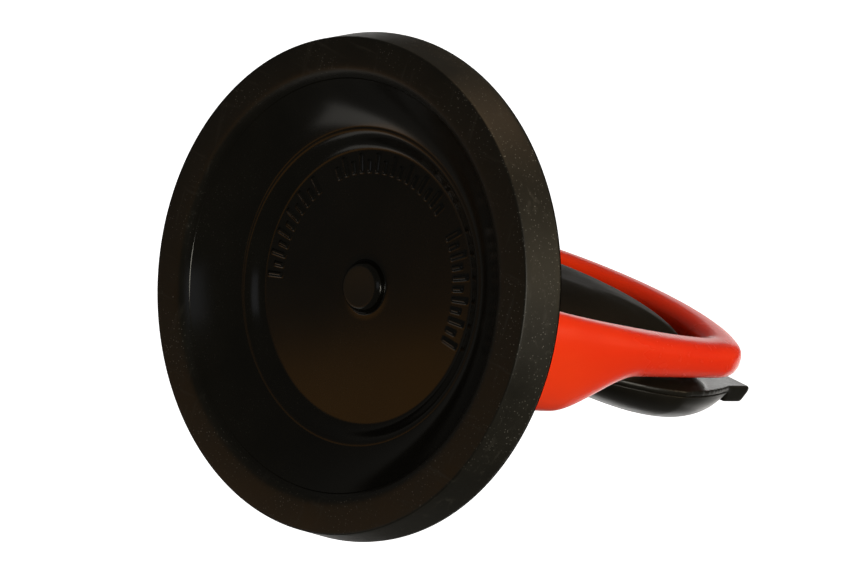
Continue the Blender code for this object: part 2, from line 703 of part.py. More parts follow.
def main():
    clear_scene()
    red = material("red_plastic", RED, 0.22)
    black = material("black_plastic", BLACK, 0.35)
    rubber = material("black_rubber", RUBBER, 0.30)
    steel = material("zinc_plated_steel", STEEL, 0.30, metallic=1.0)
    nylon = material("natural_nylon", NYLON, 0.45)
    make_suction_pad(rubber)
    make_core(steel)
    make_stud(steel)
    make_housing(red)
    make_bush(nylon)
    make_wear_plate(steel)
    make_pin(steel)
    make_lever(black)
    make_grip_cover(black, steel)


main()
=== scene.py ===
"""Looks of the glass suction lifter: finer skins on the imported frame, materials, light, camera."""

from math import atan2, cos, degrees, hypot, pi, radians, sin, sqrt

import bmesh
import bpy
from mathutils import Matrix, Vector


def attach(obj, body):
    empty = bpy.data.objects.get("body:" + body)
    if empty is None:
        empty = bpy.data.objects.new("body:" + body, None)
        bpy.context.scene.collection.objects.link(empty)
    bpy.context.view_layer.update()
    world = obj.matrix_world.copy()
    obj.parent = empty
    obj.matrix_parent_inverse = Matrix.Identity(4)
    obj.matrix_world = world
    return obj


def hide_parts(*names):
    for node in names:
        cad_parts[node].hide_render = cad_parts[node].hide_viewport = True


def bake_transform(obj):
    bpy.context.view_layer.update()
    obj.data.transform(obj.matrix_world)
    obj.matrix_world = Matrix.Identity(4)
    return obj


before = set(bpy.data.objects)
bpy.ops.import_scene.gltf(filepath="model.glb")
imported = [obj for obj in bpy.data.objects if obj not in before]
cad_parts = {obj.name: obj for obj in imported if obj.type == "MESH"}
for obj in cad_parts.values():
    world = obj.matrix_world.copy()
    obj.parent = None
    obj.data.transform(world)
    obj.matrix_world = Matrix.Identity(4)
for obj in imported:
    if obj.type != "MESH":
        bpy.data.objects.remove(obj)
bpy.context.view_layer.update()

MM = 0.001

# ---------------------------------------------------------------- sizes, as in the frame
PAD_FACE_RADIUS = 57.8 * MM
PAD_RADIUS = 60.0 * MM
PAD_RIM_HEIGHT = 10.3 * MM
PAD_SEAL_RADIUS = 50.0 * MM
DISH_RADIUS = 36.0 * MM
DISH_WALL_HEIGHT = 9.5 * MM
DISH_HEIGHT = 12.0 * MM
BEAD_RADIUS = 34.4 * MM
BOSS_RADIUS = 6.3 * MM
BOSS_TIP = 9.8 * MM
FACE_SOFTENING = 0.9 * MM
RIM_INNER_RADIUS = 48.2 * MM
PAD_MIDDLE_TOP = 16.0 * MM
MARK_INNER = 27.0 * MM
MARK_OUTER = 31.6 * MM
MARK_HALF = 0.55 * MM
MARK_RISE = 0.5 * MM
MARK_START = 163.0
MARK_SWEEP = 205.0
MARK_COUNT = 41
MARK_GAPS = (11, 12, 28, 29)

DOME_RADIUS = 50.0 * MM
DOME_TOP = 28.5 * MM
DOME_FLAT_RADIUS = 18.0 * MM
DOME_WALL = 3.5 * MM
DOME_FOOT = PAD_RIM_HEIGHT + 0.3 * MM
BUSH_HOLE_RADIUS = 7.5 * MM

ARCH_PILLAR_X = 42.2 * MM
ARCH_CROWN_RADIUS = 57.5 * MM
ARCH_CROWN_CENTRE = 63.7 * MM
ARCH_CORNER_RADIUS = 10.6 * MM
ARCH_HALF_THICK = 5.3 * MM
ARCH_BAR_HALF_THICK = 5.7 * MM
ARCH_FOOT = 10.5 * MM
ARCH_FILLET = 4.0 * MM

PIN_HEIGHT = 40.6 * MM
PIN_RADIUS = 3.0 * MM
CAM_CLOSED = 10.0 * MM
CAM_STROKE = 4.0 * MM
LEVER_SWING = radians(45)
CHEEK_INNER = 8.3 * MM
CHEEK_THICK = 5.0 * MM

DECK_Y = 8.8 * MM
DECK_THICK = 3.0 * MM
LEVER_HALF_WIDTH = 43.3 * MM
LEVER_WIDEST_Z = 91.0 * MM
LEVER_TAIL_Z = 49.0 * MM
LEVER_LIP_HALF_WIDTH = 39.3 * MM
LEVER_LIP_START = 114.4 * MM
LEVER_LIP_END = 124.9 * MM
LEVER_LIP_Y = 13.1 * MM
LIP_CORNER = 1.3 * MM
NECK_HALF_WIDTH = 14.0 * MM
NECK_FOOT = 47.0 * MM
CROWN_Y = -6.4 * MM
CROWN_HALF_WIDTH = 35.2 * MM
CROWN_FLANGE = 8.8 * MM
CROWN_GAP = 2.8 * MM
CROWN_DOME_RUN = 26.0 * MM
CROWN_DOME_RISE = 9.0 * MM
CROWN_MIDDLE_Z = 80.0 * MM
CROWN_CORNER = 3.6 * MM
CROWN_FOOT = 52.0 * MM
LIP_DECK_Z = 100.0 * MM        # the bare deck before the lip
SHOULDER_Y = 6.4 * MM
SHOULDER_RUN = 6.0 * MM
SHOULDER_TAIL_Z = 74.0 * MM
SHOULDER_END_Z = 107.0 * MM
RIM_THICK = 1.6 * MM           # the deck's edge above the cover's seam
COVER_Y = DECK_Y + RIM_THICK - 0.1 * MM
COVER_DEPTH = 12.2 * MM
COVER_DEEPEST_Z = 101.0 * MM
COVER_END_Z = 114.0 * MM
COVER_TAIL_Z = 50.0 * MM


# ---------------------------------------------------------------- mesh helpers

def mesh_object(name, points, faces):
    mesh = bpy.data.meshes.new(name)
    mesh.from_pydata(points, [], faces)
    body = bmesh.new()
    body.from_mesh(mesh)
    bmesh.ops.remove_doubles(body, verts=body.verts, dist=0.002 * MM)
    bmesh.ops.recalc_face_normals(body, faces=body.faces)
    body.to_mesh(mesh)
    body.free()
    obj = bpy.data.objects.new(name, mesh)
    bpy.context.scene.collection.objects.link(obj)
    mesh.shade_smooth()
    return obj


def loft(name, rings):
    """A closed body through rings of equally many points."""
    size = len(rings[0])
    points = [tuple(p) for ring in rings for p in ring]
    faces = []
    for i in range(len(rings) - 1):
        for j in range(size):
            k = (j + 1) % size
            low, high = i * size, (i + 1) * size
            faces.append((low + j, low + k, high + k, high + j))
    faces.append(tuple(reversed(range(size))))
    faces.append(tuple(range(len(points) - size, len(points))))
    return mesh_object(name, points, faces)


def turned(name, profile, steps, closed=False):
    """Turn (radius, z) points about Z. An open profile starts and ends on the axis."""
    points, rings, faces = [], [], []
    for r, z in profile:
        if r < 1e-7:
            rings.append([len(points)] * steps)
            points.append((0.0, 0.0, z))
            continue
        rings.append(list(range(len(points), len(points) + steps)))
        for k in range(steps):
            a = 2 * pi * k / steps
            points.append((r * cos(a), r * sin(a), z))
    pairs = list(zip(rings, rings[1:]))
    if closed:
        pairs.append((rings[-1], rings[0]))
    for low, high in pairs:
        for k in range(steps):
            n = (k + 1) % steps
            face = []
            for v in (low[k], low[n], high[n], high[k]):
                if v not in face:
                    face.append(v)
            if len(face) > 2:
                faces.append(tuple(face))
    obj = mesh_object(name, points, faces)
    obj.data.set_sharp_from_angle(angle=radians(50))
    return obj


def prism(name, outline, place):
    """Extrude an outline between two offsets; place(a, b, side) gives the 3-D point."""
    count = len(outline)
    points = [place(a, b, side) for side in (0, 1) for a, b in outline]
    faces = [(i, (i + 1) % count, count + (i + 1) % count, count + i) for i in range(count)]
    faces += [tuple(reversed(range(count))), tuple(range(count, 2 * count))]
    return mesh_object(name, points, faces)


def apply_modifiers(obj):
    evaluated = obj.evaluated_get(bpy.context.evaluated_depsgraph_get())
    mesh = bpy.data.meshes.new_from_object(evaluated)
    obj.modifiers.clear()
    obj.data = mesh
    mesh.shade_smooth()


def join(name, parts):
    """Put several overlapping closed meshes into one object."""
    body = bmesh.new()
    for part in parts:
        body.from_mesh(part.data)
    mesh = bpy.data.meshes.new(name)
    body.to_mesh(mesh)
    body.free()
    for part in parts:
        bpy.data.objects.remove(part)
    obj = bpy.data.objects.new(name, mesh)
    bpy.context.scene.collection.objects.link(obj)
    return obj


def moulded(obj, voxel, repeats):
    """Fuse the overlapping bodies of a piece into one skin with soft moulded edges."""
    step = obj.modifiers.new("fuse", "REMESH")
    step.mode = "VOXEL"
    step.voxel_size = voxel
    step.use_smooth_shade = True
    soft = obj.modifiers.new("soften", "SMOOTH")
    soft.factor = 0.5
    soft.iterations = repeats
    apply_modifiers(obj)


def smoothstep(t):
    t = min(1.0, max(0.0, t))
    return t * t * (3 - 2 * t)


def arc(centre, radius, start, end, count):
    angles = [radians(start + (end - start) * i / (count - 1)) for i in range(count)]
    return [(centre[0] + radius * cos(a), centre[1] + radius * sin(a)) for a in angles]


def rounded_profile(corners, segments=6):
    """Round the corners of a profile; each corner is (r, z, radius)."""
    points = []
    last = len(corners) - 1
    for i, (r, z, radius) in enumerate(corners):
        here = Vector((r, z))
        if radius == 0 or i in (0, last):
            points.append((r, z))
            continue
        before = (Vector(corners[i - 1][:2]) - here).normalized()
        after = (Vector(corners[i + 1][:2]) - here).normalized()
        start, end = here + before * radius, here + after * radius
        for k in range(segments + 1):
            t = k / segments
            p = start * (1 - t) ** 2 + here * 2 * t * (1 - t) + end * t ** 2
            points.append((p.x, p.y))
    return points


# ---------------------------------------------------------------- rubber disc

def face_z(r):
    """Height of the face at radius r: flat sealing band, softened into the dish wall."""
    t = (r - DISH_RADIUS) / (PAD_SEAL_RADIUS - DISH_RADIUS)
    wall = DISH_WALL_HEIGHT * (1 - max(0.0, t) ** 1.5)
    soft = 0.5 * (wall + sqrt(wall * wall + FACE_SOFTENING ** 2))
    fade = smoothstep((56 * MM - r) / (4 * MM))
    return soft * fade if r > PAD_SEAL_RADIUS else soft


def make_pad_rim():
    """The thick outer ring: sealing band, side wall and back."""
    count = 26
    face = []
    for i in range(count):
        r = RIM_INNER_RADIUS + (56 * MM - RIM_INNER_RADIUS) * i / (count - 1)
        face.append((r, face_z(r)))
    corners = [(56.2 * MM, 0.0, 0), (PAD_FACE_RADIUS, 0.0, 0.45 * MM),
               (PAD_RADIUS, PAD_RIM_HEIGHT - 0.3 * MM, 1.0 * MM),
               (PAD_RADIUS - 0.5 * MM, PAD_RIM_HEIGHT, 0.35 * MM),
               (RIM_INNER_RADIUS, PAD_RIM_HEIGHT, 0.0)]
    outer = rounded_profile(corners)
    profile = list(face)
    for a, b in zip(outer, outer[1:]):
        span = hypot(b[0] - a[0], b[1] - a[1])
        pieces = max(1, int(span / (1.2 * MM)))
        profile += [(a[0] + (b[0] - a[0]) * k / pieces, a[1] + (b[1] - a[1]) * k / pieces)
                    for k in range(pieces)]
    profile.append(outer[-1])
    return turned("pad_rim", profile, 320, closed=True)


def mark_height(x, y):
    """Raised bars standing radially on the dish's ceiling, in three groups along an arc."""
    r = hypot(x, y)
    if not MARK_INNER - MM < r < MARK_OUTER + MM:
        return 0.0
    along = (degrees(atan2(y, x)) - MARK_START) % 360
    if along > MARK_SWEEP:
        return 0.0
    slot = MARK_SWEEP / MARK_COUNT
    index = int(along / slot)
    if index in MARK_GAPS:
        return 0.0
    off = abs(along - (index + 0.5) * slot) * pi / 180 * r
    short = MARK_OUTER - (1.6 * MM if index % 2 else 0.0)
    edge = min(MARK_HALF - off, r - MARK_INNER, short - r)
    return MARK_RISE * smoothstep(edge / (0.5 * MM) + 0.3)


def make_pad_dish():
    """The thin drawn-up middle: dish wall, bead, ceiling with marks, and centre boss."""
    steps = 720
    under = []
    count = 46
    for over in (1.2 * MM, 0.6 * MM, 0.2 * MM):
        r = RIM_INNER_RADIUS + over
        under.append((r, face_z(r) + over * 0.03))
    for i in range(count):
        r = RIM_INNER_RADIUS - (RIM_INNER_RADIUS - DISH_RADIUS - 1.6 * MM) * i / (count - 1)
        under.append((r, face_z(r)))
    start_r, start_z = under[-1]
    step_count = 30
    for i in range(1, step_count + 1):
        t = i / step_count
        rise = 0.35 * smoothstep(t) + 0.65 * smoothstep((t - 0.12) / 0.80)
        under.append((start_r + (31.9 * MM - start_r) * t,
                      start_z + (DISH_HEIGHT - start_z) * rise))
    r = 31.65 * MM
    while r > 24.6 * MM:
        under.append((r, DISH_HEIGHT))
        r -= 0.25 * MM
    for k in range(12):
        under.append((24 * MM - k * 1.4 * MM, DISH_HEIGHT))
    corners = [(8.2 * MM, DISH_HEIGHT, 0), (BOSS_RADIUS + 0.2 * MM, DISH_HEIGHT, 0.35 * MM),
               (BOSS_RADIUS - 0.25 * MM, BOSS_TIP + 0.9 * MM, 0.5 * MM),
               (BOSS_RADIUS - 1.2 * MM, BOSS_TIP, 0.45 * MM), (3.2 * MM, BOSS_TIP + 0.1 * MM, 0)]
    under += rounded_profile(corners)
    under += [(1.6 * MM, BOSS_TIP + 0.14 * MM), (0.0, BOSS_TIP + 0.16 * MM)]
    back = [(0.0, PAD_MIDDLE_TOP), (20 * MM, PAD_MIDDLE_TOP), (33 * MM, PAD_MIDDLE_TOP),
            (37 * MM, 14.4 * MM), (41 * MM, 11.2 * MM), (45 * MM, 8.0 * MM),
            (48 * MM, 6.0 * MM), (49.4 * MM, 3.0 * MM)]
    obj = turned("pad_dish", under + back, steps)
    for vert in obj.data.vertices:
        x, y, z = vert.co
        if DISH_HEIGHT - 0.01 * MM < z < DISH_HEIGHT + 0.01 * MM:
            vert.co.z -= mark_height(x, y)
    return obj


# ---------------------------------------------------------------- dome and arch

def dome_curve(radius, top, count):
    run = radius - DOME_FLAT_RADIUS
    points = []
    for i in range(count):
        t = sin(pi / 2 * i / (count - 1))
        points.append((DOME_FLAT_RADIUS + run * t,
                       DOME_FOOT + (top - DOME_FOOT) * sqrt(max(0.0, 1 - t ** 3))))
    return points


def dome_z(r):
    """Height of the dome's outer skin at radius r."""
    t = min(1.0, max(0.0, (r - DOME_FLAT_RADIUS) / (DOME_RADIUS - DOME_FLAT_RADIUS)))
    return DOME_FOOT + (DOME_TOP - DOME_FOOT) * sqrt(1 - t ** 3)


def angle_from_up(across, up):
    return Vector((across, up)).angle(Vector((0, 1))) * 180 / pi


def arch_stations():
    """Middle points and outward directions along the arch, foot to foot."""
    reach = ARCH_CROWN_RADIUS - ARCH_CORNER_RADIUS
    corner_x = ARCH_PILLAR_X - ARCH_CORNER_RADIUS
    rise = sqrt(reach ** 2 - corner_x ** 2)
    corner_z = ARCH_CROWN_CENTRE + rise
    turn = 90 - angle_from_up(corner_x, rise)
    half = []
    steps = 110
    for i in range(steps):
        z = ARCH_FOOT + (corner_z - ARCH_FOOT) * i / steps
        half.append((ARCH_PILLAR_X, z, 1.0, 0.0))
    for x, z in arc((corner_x, corner_z), ARCH_CORNER_RADIUS, 0, turn, 22):
        half.append((x, z, (x - corner_x) / ARCH_CORNER_RADIUS,
                     (z - corner_z) / ARCH_CORNER_RADIUS))
    for x, z in arc((0, ARCH_CROWN_CENTRE), ARCH_CROWN_RADIUS, turn, 90, 56)[1:]:
        half.append((x, z, x / ARCH_CROWN_RADIUS, (z - ARCH_CROWN_CENTRE) / ARCH_CROWN_RADIUS))
    return half + [(-x, z, -nx, nz) for x, z, nx, nz in reversed(half[:-1])]


def arch_back(z):
    return (4.5 + 5.0 * max(0.0, (97 * MM - z) / (59 * MM)) ** 1.4) * MM


def arch_front(z):
    return (4.8 + 9.2 * smoothstep((65 * MM - z) / (28 * MM))) * MM


def arch_section(inner, outer, back, front, count=96):
    """A rounded box section, rounder on its outer side, points (outward, y)."""
    points = []
    for i in range(count):
        a = 2 * pi * i / count
        c, s = cos(a), sin(a)
        power = 2.4 if c > 0 else 2.9
        u = abs(c) ** (2 / power) * (1 if c >= 0 else -1)
        v = abs(s) ** (2 / power) * (1 if s >= 0 else -1)
        points.append(((inner + outer) / 2 + (outer - inner) / 2 * u,
                       (back + front) / 2 + (front - back) / 2 * v))
    return points


def make_handle():
    rings = []
    for x, z, nx, nz in arch_stations():
        bar = smoothstep((z - 102 * MM) / (12 * MM))
        half = ARCH_HALF_THICK + (ARCH_BAR_HALF_THICK - ARCH_HALF_THICK) * bar
        root = 5 * MM * smoothstep((38 * MM - z) / (20 * MM))
        section = arch_section(-half - root, half, -arch_back(z), arch_front(z))
        mid_u, mid_v = -root / 2, (arch_front(z) - arch_back(z)) / 2
        ring = []
        for u, v in section:
            px, py, pz = x + nx * u, v, z + nz * u
            if z < 60 * MM:
                skin = dome_z(hypot(px, py))
                lift = max(0.0, 1 - max(0.0, pz - skin) / ARCH_FILLET)
                flare = ARCH_FILLET * (1 - sqrt(1 - min(1.0, lift) ** 2)) * 0.8
                away = hypot(u - mid_u, v - mid_v)
                px += (1 if x > 0 else -1) * (u - mid_u) / away * flare
                py += (v - mid_v) / away * flare
                pz = max(pz, dome_z(hypot(px, py)) - 1.6 * MM)
            ring.append((px, py, pz))
        rings.append(ring)
    arch = loft("arch", rings)
    outer = dome_curve(DOME_RADIUS, DOME_TOP, 48)
    inner = dome_curve(DOME_RADIUS - DOME_WALL, DOME_TOP - DOME_WALL, 32)
    shell = [(BUSH_HOLE_RADIUS, DOME_TOP)] + outer + list(reversed(inner))
    shell.append((BUSH_HOLE_RADIUS, DOME_TOP - DOME_WALL))
    dome = turned("dome", shell, 160, closed=True)
    handle = join("handle_shell", [arch, dome])
    moulded(handle, 0.55 * MM, 5)
    return handle


# ---------------------------------------------------------------- lever

def lever_half_width(z):
    if z < LEVER_WIDEST_Z:
        t = (LEVER_WIDEST_Z - z) / (LEVER_WIDEST_Z - LEVER_TAIL_Z)
        return LEVER_HALF_WIDTH * max(0.0, 1 - t ** 1.55) ** 0.645
    taper = 2.8 * MM * ((z - LEVER_WIDEST_Z) / (20 * MM)) ** 2
    return max(LEVER_LIP_HALF_WIDTH, LEVER_HALF_WIDTH - taper)


def both_sides(right):
    return right + [(-x, z) for x, z in reversed(right)]


def inset_point(point, middle_z, inset, y):
    x, z = point
    away = hypot(x, z - middle_z)
    scale = (away - inset) / away
    return (x * scale, y, middle_z + (z - middle_z) * scale)


def make_deck():
    right = [(NECK_HALF_WIDTH, NECK_FOOT)]
    start = 54 * MM
    for i in range(61):
        z = start + (LEVER_LIP_START - start) * i / 60
        right.append((lever_half_width(z), z))
    right.append((LEVER_LIP_HALF_WIDTH, LEVER_LIP_START + 2 * MM))
    return prism("deck", both_sides(right),
                 lambda x, z, side: (x, DECK_Y + RIM_THICK * side, z))


def make_neck():
    side = [(-NECK_HALF_WIDTH, NECK_FOOT), (NECK_HALF_WIDTH, NECK_FOOT),
            (NECK_HALF_WIDTH, 58 * MM), (-NECK_HALF_WIDTH, 58 * MM)]
    return prism("neck", side, lambda x, z, end: (x, DECK_Y + DECK_THICK * end, z))


def make_lip():
    """The thick end of the lip: rounded edges, and rounded corners in plan."""
    corners = [(LEVER_LIP_START, DECK_Y, 0), (LEVER_LIP_END, DECK_Y, 1.0 * MM),
               (LEVER_LIP_END, DECK_Y + 1.3 * MM, 0.6 * MM),
               (LEVER_LIP_END - 2.2 * MM, LEVER_LIP_Y, 0.8 * MM),
               (LEVER_LIP_START, LEVER_LIP_Y, 0)]
    section = rounded_profile(corners)
    rings = []
    count = 12
    for i in range(-count, count + 1):
        side = -1 if i < 0 else 1
        angle = pi / 2 * abs(i) / count
        x = LEVER_LIP_HALF_WIDTH - LIP_CORNER * (1 - sin(angle))
        cut = LIP_CORNER * (1 - cos(angle)) * 0.9
        rings.append([(side * x if i else 0.0, y, LEVER_LIP_START + (z - LEVER_LIP_START)
                       * (1 - cut / (LEVER_LIP_END - LEVER_LIP_START)))
                      for z, y in section])
    return loft("lip", rings)


def crown_outline():
    top_radius = ARCH_CROWN_RADIUS - ARCH_BAR_HALF_THICK - CROWN_GAP
    right = []
    for i in range(60):
        z = (52 + 38 * i / 59) * MM
        width = max(NECK_HALF_WIDTH - 0.5 * MM, lever_half_width(z) - CROWN_FLANGE)
        right.append((min(CROWN_HALF_WIDTH, width), z))
    reach = top_radius - CROWN_CORNER
    corner_x = CROWN_HALF_WIDTH - CROWN_CORNER
    corner_z = ARCH_CROWN_CENTRE + sqrt(reach ** 2 - corner_x ** 2)
    turn = 90 - angle_from_up(corner_x, corner_z - ARCH_CROWN_CENTRE)
    right += arc((corner_x, corner_z), CROWN_CORNER, 0, turn, 14)
    right += arc((0, ARCH_CROWN_CENTRE), top_radius, turn, 88, 40)[1:]
    return both_sides(right)


def make_crown():
    outline = crown_outline()
    rings = [[(x, DECK_Y + 1 * MM, z) for x, z in outline]]
    count = 40
    for i in range(count):
        angle = pi / 2 * i / (count - 1)
        inset = CROWN_DOME_RUN * (1 - cos(angle))
        y = CROWN_Y + CROWN_DOME_RISE * (1 - sin(angle))
        rings.append([inset_point(p, CROWN_MIDDLE_Z, inset, y) for p in outline])
    return loft("crown", rings)


def make_shoulder():
    right = []
    for i in range(40):
        z = SHOULDER_TAIL_Z + (95 * MM - SHOULDER_TAIL_Z) * i / 39
        right.append((lever_half_width(z) - 0.5 * MM, z))
    right += arc((31 * MM, 95.5 * MM), 11.5 * MM, 5, 80, 24)
    right.append((20 * MM, SHOULDER_END_Z))
    outline = both_sides(right)
    middle_z = 90 * MM
    run = [(0.0, DECK_Y + 1 * MM), (0.0, DECK_Y - 0.2 * MM),
           (SHOULDER_RUN * 0.18, DECK_Y - 1.0 * MM), (SHOULDER_RUN * 0.4, DECK_Y - 1.7 * MM),
           (SHOULDER_RUN * 0.7, DECK_Y - 2.15 * MM), (SHOULDER_RUN, SHOULDER_Y)]
    return loft("shoulder", [[inset_point(p, middle_z, inset, y) for p in outline]
                             for inset, y in run])


def cam_outline():
    rate = CAM_STROKE / LEVER_SWING
    cam = []
    for i in range(25):
        swing = LEVER_SWING * i / 24
        reach = CAM_CLOSED - rate * swing
        cam.append((reach * sin(swing) - rate * cos(swing),
                    PIN_HEIGHT - reach * cos(swing) - rate * sin(swing)))
    last_y, last_z = cam[-1]
    run = 8.2 * MM
    heel = DECK_Y + DECK_THICK - 0.4 * MM
    front = [(last_y + run, last_z + run), (heel, NECK_FOOT), (heel, 55 * MM)]
    back = [(-2.5 * MM, 55 * MM), (-6.5 * MM, 49.5 * MM)]
    back += arc((0, PIN_HEIGHT), 9.4 * MM, 140, 222, 20)
    return cam + front + back


def make_lever():
    parts = [make_deck(), make_neck(), make_lip(), make_shoulder(), make_crown()]
    for side in (-1, 1):
        inner = side * CHEEK_INNER
        parts.append(prism("cheek", cam_outline(), lambda y, z, end: (
            inner + side * CHEEK_THICK * end, y, z)))
    lever = join("lever_shell", parts)
    moulded(lever, 0.42 * MM, 4)
    return lever


def make_cover():
    """The spoon's domed back, closed against the deck."""
    tail, end = COVER_TAIL_Z, COVER_END_Z
    rows, columns = 130, 110
    rings = []
    for i in range(rows + 1):
        t = (1 - cos(pi * i / rows)) / 2
        z = tail + (end - tail) * t
        width = max(3 * MM, lever_half_width(z))
        if z < COVER_DEEPEST_Z:
            rise = 1 - ((COVER_DEEPEST_Z - z) / (COVER_DEEPEST_Z - tail)) ** 1.4
        else:
            rise = sqrt(max(0.0, 1 - ((z - COVER_DEEPEST_Z) / (end - COVER_DEEPEST_Z)) ** 3.2))
        ring = [(width, COVER_Y, z)]
        for j in range(columns + 1):
            across = cos(pi * j / columns)
            depth = max(0.05 * MM, COVER_DEPTH * rise) * sqrt(1 - abs(across) ** 3.4)
            ring.append((width * across, COVER_Y + 0.2 * MM + depth, z))
        ring.append((-width, COVER_Y, z))
        rings.append(ring)
    return loft("cover_shell", rings)


# ---------------------------------------------------------------- materials

class Nodes:
    """A small builder for a Principled material's node tree."""

    def __init__(self, name, colour, roughness, metallic=0.0):
        self.material = bpy.data.materials.new(name)
        self.material.use_nodes = True
        self.tree = self.material.node_tree
        self.shader = self.tree.nodes["Principled BSDF"]
        self.shader.inputs["Base Color"].default_value = (*colour, 1.0)
        self.shader.inputs["Roughness"].default_value = roughness
        self.shader.inputs["Metallic"].default_value = metallic
        self.coord = self.tree.nodes.new("ShaderNodeTexCoord").outputs["Object"]

    def link(self, source, target):
        self.tree.links.new(source, target)

    def fixed(self, **values):
        for name, value in values.items():
            self.shader.inputs[name.replace("_", " ")].default_value = value

    def noise(self, scale, detail=4.0, roughness=0.5, stretch=(1, 1, 1), source=None):
        place = self.tree.nodes.new("ShaderNodeMapping")
        place.inputs["Scale"].default_value = stretch
        self.link(source or self.coord, place.inputs["Vector"])
        node = self.tree.nodes.new("ShaderNodeTexNoise")
        node.inputs["Scale"].default_value = scale
        node.inputs["Detail"].default_value = detail
        node.inputs["Roughness"].default_value = roughness
        self.link(place.outputs["Vector"], node.inputs["Vector"])
        return node.outputs["Fac"]

    def specks(self, scale, size):
        """White dots of about `size` of a cell, one to a cell."""
        node = self.tree.nodes.new("ShaderNodeTexVoronoi")
        node.inputs["Scale"].default_value = scale
        self.link(self.coord, node.inputs["Vector"])
        return self.remap(node.outputs["Distance"], size, size * 0.4, 0.0, 1.0)

    def remap(self, value, low, high, to_low, to_high):
        node = self.tree.nodes.new("ShaderNodeMapRange")
        node.inputs["From Min"].default_value = low
        node.inputs["From Max"].default_value = high
        node.inputs["To Min"].default_value = to_low
        node.inputs["To Max"].default_value = to_high
        self.link(value, node.inputs["Value"])
        return node.outputs["Result"]

    def math(self, operation, a, b):
        node = self.tree.nodes.new("ShaderNodeMath")
        node.operation = operation
        for socket, value in zip(node.inputs, (a, b)):
            if isinstance(value, (int, float)):
                socket.default_value = value
            else:
                self.link(value, socket)
        return node.outputs["Value"]

    def mix(self, factor, a, b):
        """Blend two colours; each is a tuple or a socket."""
        node = self.tree.nodes.new("ShaderNodeMix")
        node.data_type = "RGBA"
        self.link(factor, node.inputs["Factor"])
        for socket, value in ((node.inputs["A"], a), (node.inputs["B"], b)):
            if isinstance(value, tuple):
                socket.default_value = (*value, 1.0)
            else:
                self.link(value, socket)
        return node.outputs["Result"]

    def split(self):
        node = self.tree.nodes.new("ShaderNodeSeparateXYZ")
        self.link(self.coord, node.inputs["Vector"])
        return node.outputs

    def radius(self):
        """Distance from the disc's axis."""
        x, y, _ = self.split()
        return self.math("SQRT", self.math("ADD", self.math("MULTIPLY", x, x),
                                           self.math("MULTIPLY", y, y)), 0.0)

    def colour(self, source):
        self.link(source, self.shader.inputs["Base Color"])

    def roughness(self, source):
        self.link(source, self.shader.inputs["Roughness"])

    def bump(self, height, strength, distance):
        node = self.tree.nodes.new("ShaderNodeBump")
        node.inputs["Strength"].default_value = strength
        node.inputs["Distance"].default_value = distance
        self.link(height, node.inputs["Height"])
        self.link(node.outputs["Normal"], self.shader.inputs["Normal"])


def rubber():
    """Near-black moulded rubber: glossy dish, dusty sealing band with specks and scuffs."""
    n = Nodes("pad_rubber_look", (0.006, 0.0055, 0.005), 0.2)
    n.fixed(Specular_IOR_Level=0.26)
    boss = n.remap(n.radius(), 5.3 * MM, 4.7 * MM, 0.0, 1.0)
    band = n.remap(n.radius(), 48.6 * MM, 50.2 * MM, 0.0, 1.0)
    cloud = n.noise(55, 6, 0.62)
    film = n.noise(16, 3, 0.5)
    scuff = n.noise(420, 3, 0.6, (1.0, 0.12, 1.0))
    scuff_two = n.noise(520, 3, 0.6, (0.10, 1.0, 1.0))
    scuffs = n.remap(n.math("MAXIMUM", scuff, scuff_two), 0.60, 0.76, 0, 1)
    scuffs = n.math("MULTIPLY", scuffs, band)
    dust = n.math("MULTIPLY", n.specks(1300, 0.20), n.remap(cloud, 0.44, 0.62, 0.0, 1.0))
    big = n.math("MULTIPLY", n.specks(210, 0.045), n.remap(film, 0.50, 0.62, 0.0, 0.8))
    dust = n.math("MULTIPLY", n.math("MAXIMUM", dust, big), n.remap(band, 0, 1, 0.10, 1.0))
    base = n.mix(n.remap(cloud, 0.35, 0.75, 0.0, 1.0),
                 (0.0030, 0.0026, 0.0012), (0.0065, 0.0056, 0.0034))
    haze = n.mix(n.math("MULTIPLY", n.math("MULTIPLY", band, cloud), 0.55),
                 base, (0.017, 0.0155, 0.0105))
    haze = n.mix(n.math("MULTIPLY", scuffs, 0.45), haze, (0.045, 0.042, 0.034))
    haze = n.mix(n.math("MULTIPLY", boss, 0.6), haze, (0.010, 0.010, 0.008))
    n.colour(n.mix(n.math("MULTIPLY", dust, 0.8), haze, (0.20, 0.19, 0.17)))
    gloss = n.remap(film, 0.3, 0.75, 0.13, 0.24)
    matte = n.remap(cloud, 0.3, 0.75, 0.36, 0.52)
    blend = n.tree.nodes.new("ShaderNodeMix")
    for source, target in ((band, "Factor"), (gloss, "A"), (matte, "B")):
        n.link(source, blend.inputs[target])
    n.roughness(n.math("ADD", n.math("ADD", blend.outputs["Result"],
                                     n.math("MULTIPLY", boss, 0.22)),
                       n.math("MULTIPLY", scuffs, 0.12)))
    fine = n.noise(2600, 3, 0.6)
    height = n.math("ADD", n.math("MULTIPLY", fine, n.remap(band, 0, 1, 0.02, 0.5)),
                    n.math("ADD", n.math("MULTIPLY", n.noise(42, 2, 0.4), 1.2),
                           n.math("MULTIPLY", scuffs, 0.35)))
    n.bump(height, 0.35, 0.06 * MM)
    return n.material


